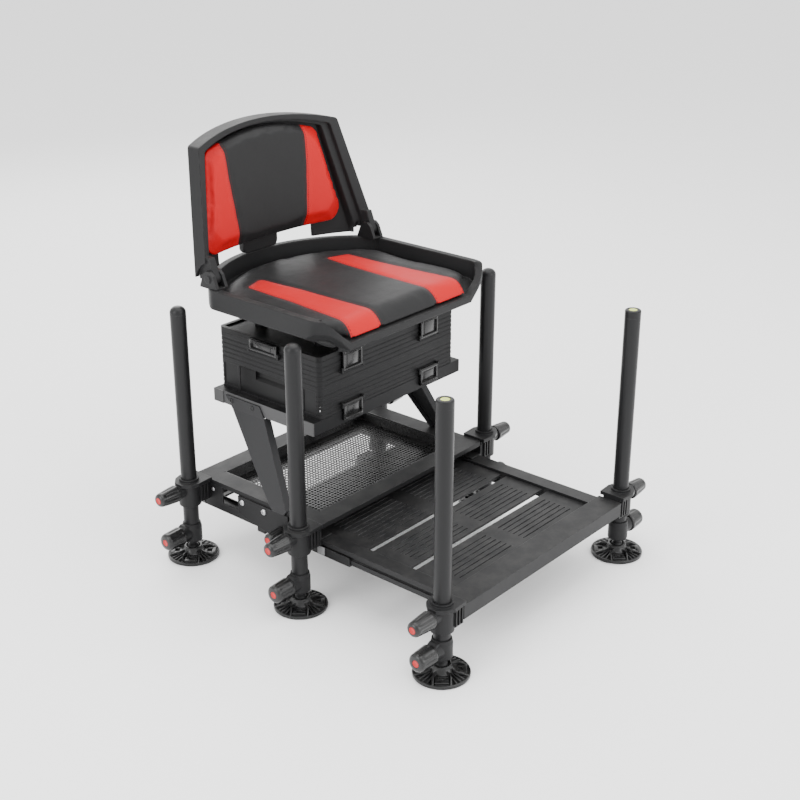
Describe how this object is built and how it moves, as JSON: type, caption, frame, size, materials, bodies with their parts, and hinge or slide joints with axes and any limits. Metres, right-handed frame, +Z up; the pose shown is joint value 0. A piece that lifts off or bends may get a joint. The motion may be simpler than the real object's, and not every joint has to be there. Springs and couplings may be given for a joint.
{
  "type": "fishing seat box",
  "caption": "Fishing seat box on adjustable legs with round feet, sliding slatted footplate, mesh basket, tackle box with side drawer and a swivelling padded seat with folding back.",
  "frame": {"origin": "on the ground, in the middle of the plan outline", "axes": "+X to the sitter's left, -Y to the front where the footplate is, +Z up"},
  "size_m": [0.6992, 0.756, 0.803],
  "materials": {
    "aluminium_frame": "satin black anodised",
    "moulded_plastic": "fine grained",
    "seat_plastic": "fine grained",
    "box_plastic": "fine grained",
    "knob_rubber": "soft matte",
    "seat_fabric": "soft vinyl, red side strips",
    "steel_net": "satin black",
    "steel_bolts": "satin"
  },
  "bodies": {
    "chassis": {"chassis_frame": "aluminium_frame", "mesh_basket": "steel_net", "guide_rails": "aluminium_frame", "side_plates": "aluminium_frame", "fasteners": "steel_bolts", "chassis_clamps": "moulded_plastic", "risers": "aluminium_frame", "carrier_rails": "aluminium_frame", "drawer_unit": "box_plastic", "top_tray": "box_plastic"},
    "drawer": {"side_drawer": "box_plastic"},
    "box_lid": {"lid": "box_plastic", "swivel_base": "steel_bolts"},
    "seat": {"swivel_top": "steel_bolts", "seat_shell": "seat_plastic", "seat_cushion": "seat_fabric", "hinge_brackets": "steel_bolts"},
    "backrest": {"back_shell": "seat_plastic", "back_cushion": "seat_fabric"},
    "footplate": {"footplate_bar": "aluminium_frame", "footplate_rails": "aluminium_frame", "footplate_deck": "aluminium_frame", "footplate_clamps": "moulded_plastic"},
    "clip_upper_left": {"clip_upper_left": "moulded_plastic"},
    "clip_upper_right": {"clip_upper_right": "moulded_plastic"},
    "clip_lower_left": {"clip_lower_left": "moulded_plastic"},
    "clip_lower_right": {"clip_lower_right": "moulded_plastic"},
    "clip_end": {"clip_end": "moulded_plastic"},
    "post_front_left": {"leg_front_left": "aluminium_frame", "foot_collar_front_left": "moulded_plastic"},
    "foot_front_left": {"foot_disc_front_left": "moulded_plastic"},
    "clamp_knob_front_left": {"clamp_knob_front_left": "knob_rubber"},
    "foot_knob_front_left": {"foot_knob_front_left": "knob_rubber"},
    "post_front_right": {"leg_front_right": "aluminium_frame", "foot_collar_front_right": "moulded_plastic"},
    "foot_front_right": {"foot_disc_front_right": "moulded_plastic"},
    "clamp_knob_front_right": {"clamp_knob_front_right": "knob_rubber"},
    "foot_knob_front_right": {"foot_knob_front_right": "knob_rubber"},
    "post_rear_left": {"leg_rear_left": "aluminium_frame", "foot_collar_rear_left": "moulded_plastic"},
    "foot_rear_left": {"foot_disc_rear_left": "moulded_plastic"},
    "clamp_knob_rear_left": {"clamp_knob_rear_left": "knob_rubber"},
    "foot_knob_rear_left": {"foot_knob_rear_left": "knob_rubber"},
    "post_rear_right": {"leg_rear_right": "aluminium_frame", "foot_collar_rear_right": "moulded_plastic"},
    "foot_rear_right": {"foot_disc_rear_right": "moulded_plastic"},
    "clamp_knob_rear_right": {"clamp_knob_rear_right": "knob_rubber"},
    "foot_knob_rear_right": {"foot_knob_rear_right": "knob_rubber"},
    "post_footplate_left": {"leg_footplate_left": "aluminium_frame", "foot_collar_footplate_left": "moulded_plastic"},
    "foot_footplate_left": {"foot_disc_footplate_left": "moulded_plastic"},
    "clamp_knob_footplate_left": {"clamp_knob_footplate_left": "knob_rubber"},
    "foot_knob_footplate_left": {"foot_knob_footplate_left": "knob_rubber"},
    "post_footplate_right": {"leg_footplate_right": "aluminium_frame", "foot_collar_footplate_right": "moulded_plastic"},
    "foot_footplate_right": {"foot_disc_footplate_right": "moulded_plastic"},
    "clamp_knob_footplate_right": {"clamp_knob_footplate_right": "knob_rubber"},
    "foot_knob_footplate_right": {"foot_knob_footplate_right": "knob_rubber"},
    "slide_lock_knob_left": {"slide_lock_knob_left": "knob_rubber"},
    "slide_lock_knob_right": {"slide_lock_knob_right": "knob_rubber"}
  },
  "joints": [
    {"name": "drawer_slide", "type": "slide", "parent": "chassis", "child": "drawer", "axis": [-1, 0, 0], "range_m": [0, 0.22]},
    {"name": "lid_hinge", "type": "hinge", "parent": "chassis", "child": "box_lid", "pos_m": [0, 0.286, 0.446], "axis": [-1, 0, 0], "range_deg": [0, 80]},
    {"name": "seat_swivel", "type": "hinge", "parent": "box_lid", "child": "seat", "pos_m": [0, 0.15, 0.48], "axis": [0, 0, 1], "continuous": true},
    {"name": "back_fold", "type": "hinge", "parent": "seat", "child": "backrest", "pos_m": [0, 0.259, 0.558], "axis": [1, 0, 0], "range_deg": [0, 95]},
    {"name": "footplate_slide", "type": "slide", "parent": "chassis", "child": "footplate", "axis": [0, 1, 0], "range_m": [0, 0.15]},
    {"name": "clip_upper_left_hinge", "type": "hinge", "parent": "chassis", "child": "clip_upper_left", "pos_m": [0.108, 0.0177, 0.417], "axis": [1, 0, 0], "range_deg": [0, 100]},
    {"name": "clip_upper_right_hinge", "type": "hinge", "parent": "chassis", "child": "clip_upper_right", "pos_m": [-0.108, 0.0177, 0.417], "axis": [1, 0, 0], "range_deg": [0, 100]},
    {"name": "clip_lower_left_hinge", "type": "hinge", "parent": "chassis", "child": "clip_lower_left", "pos_m": [0.108, 0.0177, 0.349], "axis": [-1, 0, 0], "range_deg": [0, 100]},
    {"name": "clip_lower_right_hinge", "type": "hinge", "parent": "chassis", "child": "clip_lower_right", "pos_m": [-0.108, 0.0177, 0.349], "axis": [-1, 0, 0], "range_deg": [0, 100]},
    {"name": "clip_end_hinge", "type": "hinge", "parent": "chassis", "child": "clip_end", "pos_m": [-0.1933, 0.1565, 0.434], "axis": [0, -1, 0], "range_deg": [0, 100]},
    {"name": "leg_slide_front_left", "type": "slide", "parent": "chassis", "child": "post_front_left", "axis": [0, 0, 1], "range_m": [-0.3, 0.04]},
    {"name": "foot_tilt_front_left", "type": "hinge", "parent": "post_front_left", "child": "foot_front_left", "pos_m": [0.272, 0.002, 0.0165], "axis": [1, 0, 0], "range_deg": [-15, 15]},
    {"name": "clamp_knob_turn_front_left", "type": "hinge", "parent": "chassis", "child": "clamp_knob_front_left", "pos_m": [0.272, 0.002, 0.146], "axis": [1, 0, 0], "continuous": true},
    {"name": "foot_knob_turn_front_left", "type": "hinge", "parent": "post_front_left", "child": "foot_knob_front_left", "pos_m": [0.272, 0.002, 0.053], "axis": [1, 0, 0], "continuous": true},
    {"name": "leg_slide_front_right", "type": "slide", "parent": "chassis", "child": "post_front_right", "axis": [0, 0, 1], "range_m": [-0.3, 0.04]},
    {"name": "foot_tilt_front_right", "type": "hinge", "parent": "post_front_right", "child": "foot_front_right", "pos_m": [-0.272, 0.002, 0.0165], "axis": [1, 0, 0], "range_deg": [-15, 15]},
    {"name": "clamp_knob_turn_front_right", "type": "hinge", "parent": "chassis", "child": "clamp_knob_front_right", "pos_m": [-0.272, 0.002, 0.146], "axis": [-1, 0, 0], "continuous": true},
    {"name": "foot_knob_turn_front_right", "type": "hinge", "parent": "post_front_right", "child": "foot_knob_front_right", "pos_m": [-0.272, 0.002, 0.053], "axis": [-1, 0, 0], "continuous": true},
    {"name": "leg_slide_rear_left", "type": "slide", "parent": "chassis", "child": "post_rear_left", "axis": [0, 0, 1], "range_m": [-0.3, 0.04]},
    {"name": "foot_tilt_rear_left", "type": "hinge", "parent": "post_rear_left", "child": "foot_rear_left", "pos_m": [0.272, 0.294, 0.0165], "axis": [1, 0, 0], "range_deg": [-15, 15]},
    {"name": "clamp_knob_turn_rear_left", "type": "hinge", "parent": "chassis", "child": "clamp_knob_rear_left", "pos_m": [0.272, 0.294, 0.146], "axis": [1, 0, 0], "continuous": true},
    {"name": "foot_knob_turn_rear_left", "type": "hinge", "parent": "post_rear_left", "child": "foot_knob_rear_left", "pos_m": [0.272, 0.294, 0.053], "axis": [1, 0, 0], "continuous": true},
    {"name": "leg_slide_rear_right", "type": "slide", "parent": "chassis", "child": "post_rear_right", "axis": [0, 0, 1], "range_m": [-0.3, 0.04]},
    {"name": "foot_tilt_rear_right", "type": "hinge", "parent": "post_rear_right", "child": "foot_rear_right", "pos_m": [-0.272, 0.294, 0.0165], "axis": [1, 0, 0], "range_deg": [-15, 15]},
    {"name": "clamp_knob_turn_rear_right", "type": "hinge", "parent": "chassis", "child": "clamp_knob_rear_right", "pos_m": [-0.272, 0.294, 0.146], "axis": [-1, 0, 0], "continuous": true},
    {"name": "foot_knob_turn_rear_right", "type": "hinge", "parent": "post_rear_right", "child": "foot_knob_rear_right", "pos_m": [-0.272, 0.294, 0.053], "axis": [-1, 0, 0], "continuous": true},
    {"name": "leg_slide_footplate_left", "type": "slide", "parent": "footplate", "child": "post_footplate_left", "axis": [0, 0, 1], "range_m": [-0.3, 0.012]},
    {"name": "foot_tilt_footplate_left", "type": "hinge", "parent": "post_footplate_left", "child": "foot_footplate_left", "pos_m": [0.272, -0.328, 0.0165], "axis": [1, 0, 0], "range_deg": [-15, 15]},
    {"name": "clamp_knob_turn_footplate_left", "type": "hinge", "parent": "footplate", "child": "clamp_knob_footplate_left", "pos_m": [0.272, -0.328, 0.121], "axis": [1, 0, 0], "continuous": true},
    {"name": "foot_knob_turn_footplate_left", "type": "hinge", "parent": "post_footplate_left", "child": "foot_knob_footplate_left", "pos_m": [0.272, -0.328, 0.053], "axis": [1, 0, 0], "continuous": true},
    {"name": "leg_slide_footplate_right", "type": "slide", "parent": "footplate", "child": "post_footplate_right", "axis": [0, 0, 1], "range_m": [-0.3, 0.012]},
    {"name": "foot_tilt_footplate_right", "type": "hinge", "parent": "post_footplate_right", "child": "foot_footplate_right", "pos_m": [-0.272, -0.328, 0.0165], "axis": [1, 0, 0], "range_deg": [-15, 15]},
    {"name": "clamp_knob_turn_footplate_right", "type": "hinge", "parent": "footplate", "child": "clamp_knob_footplate_right", "pos_m": [-0.272, -0.328, 0.121], "axis": [-1, 0, 0], "continuous": true},
    {"name": "foot_knob_turn_footplate_right", "type": "hinge", "parent": "post_footplate_right", "child": "foot_knob_footplate_right", "pos_m": [-0.272, -0.328, 0.053], "axis": [-1, 0, 0], "continuous": true},
    {"name": "slide_knob_turn_left", "type": "hinge", "parent": "chassis", "child": "slide_lock_knob_left", "pos_m": [0.24, 0.079, 0.108], "axis": [1, 0, 0], "continuous": true},
    {"name": "slide_knob_turn_right", "type": "hinge", "parent": "chassis", "child": "slide_lock_knob_right", "pos_m": [-0.24, 0.079, 0.108], "axis": [-1, 0, 0], "continuous": true}
  ]
}
